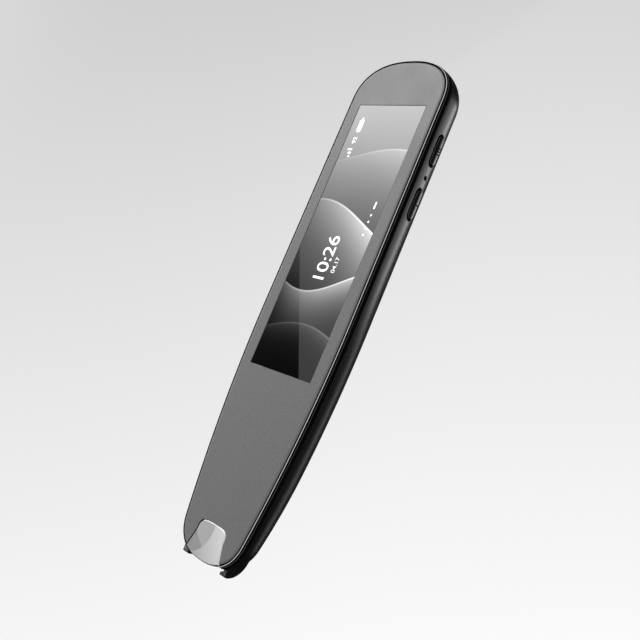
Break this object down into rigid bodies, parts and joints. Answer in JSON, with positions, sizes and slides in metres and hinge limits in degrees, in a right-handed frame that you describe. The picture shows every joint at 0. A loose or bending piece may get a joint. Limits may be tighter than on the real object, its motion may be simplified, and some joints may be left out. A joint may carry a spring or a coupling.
{
  "type": "handheld translator",
  "caption": "Pen-shaped handheld translator with a long bar screen, side keys, a round speaker insert and a sprung two-skid scanning nose.",
  "frame": {"origin": "under the middle of the box, on the flat back the pen lies on", "axes": "+X to the side with the keys, +Y to the speaker end (the scanning nose points to -Y), +Z out of the screen"},
  "size_m": [0.0342, 0.1356, 0.0119],
  "materials": {
    "panel_grey": "fine matte",
    "screen_glass": "gloss",
    "clear_plastic": "gloss",
    "frame_dark": "satin, bright chamfer",
    "housing_black": "satin",
    "key_black": "satin",
    "skid_black": "satin",
    "tape_black": "matte",
    "display_metal": "satin",
    "sensor_film": "gloss",
    "ribbon_amber": "satin",
    "mesh_black": "woven",
    "foam_black": "matte foam",
    "basket_black": "matte",
    "cone_paper": "matte",
    "magnet_nickel": "plated",
    "lead_red": "matte",
    "plunger_white": "satin",
    "switch_metal": "satin",
    "board_green": "solder mask",
    "chip_black": "matte",
    "can_metal": "satin",
    "connector_ivory": "satin",
    "battery_foil": "foil",
    "tape_grey": "matte",
    "steel": "polished",
    "antenna_copper": "etched",
    "cable_black": "matte",
    "chamber_black": "matte",
    "window_dark": "fine matte",
    "camera_black": "matte",
    "lens_glass": "coated",
    "board_white": "matte",
    "led_cream": "gloss"
  },
  "bodies": {
    "body": {"front_panel": "panel_grey", "screen_lens": "screen_glass", "viewing_window": "clear_plastic", "panel_tape": "tape_black", "touch_sensor": "sensor_film", "display_module": "display_metal", "display_flex": "ribbon_amber", "mid_frame": "frame_dark", "rear_cover": "housing_black", "speaker_grille": "housing_black", "grille_mesh": "mesh_black", "speaker_gasket": "foam_black", "speaker_basket": "basket_black", "speaker_cone": "cone_paper", "speaker_magnet": "magnet_nickel", "speaker_leads": "lead_red", "key_switches": "switch_metal", "key_board": "board_green", "microphone": "switch_metal", "microphone_seal": "foam_black", "main_board": "board_green", "main_chips": "chip_black", "shield_cans": "can_metal", "board_connectors": "connector_ivory", "battery": "battery_foil", "battery_protection": "board_green", "battery_leads": "lead_red", "battery_tape": "tape_grey", "usb_port": "steel", "usb_board": "board_green", "tail_flex": "ribbon_amber", "antenna": "antenna_copper", "antenna_cable": "cable_black", "scan_chamber": "chamber_black", "scan_window": "window_dark", "camera_module": "camera_black", "camera_lens": "lens_glass", "camera_board": "board_green", "camera_flex": "ribbon_amber", "light_board": "board_white", "scan_leds": "led_cream", "trigger_springs": "steel", "guide_pins": "steel", "trigger_switch": "chip_black", "frame_screws": "steel", "board_screws": "steel"},
    "upper_key": {"upper_button": "key_black", "upper_key_plunger": "plunger_white"},
    "lower_key": {"lower_button": "key_black", "lower_key_plunger": "plunger_white"},
    "trigger": {"trigger_bracket": "skid_black", "trigger_plunger": "plunger_white"}
  },
  "joints": [
    {"name": "upper_key_press", "type": "slide", "parent": "body", "child": "upper_key", "axis": [-1, 0, 0], "range_m": [0, 0.00035], "stiffness_N_per_m": 800, "springref_m": -0.0003},
    {"name": "lower_key_press", "type": "slide", "parent": "body", "child": "lower_key", "axis": [-1, 0, 0], "range_m": [0, 0.00035], "stiffness_N_per_m": 800, "springref_m": -0.0003},
    {"name": "trigger_press", "type": "slide", "parent": "body", "child": "trigger", "axis": [0, 1, 0], "range_m": [0, 0.0004], "stiffness_N_per_m": 1000, "springref_m": -0.0005, "deforming": ["trigger_springs"]}
  ]
}
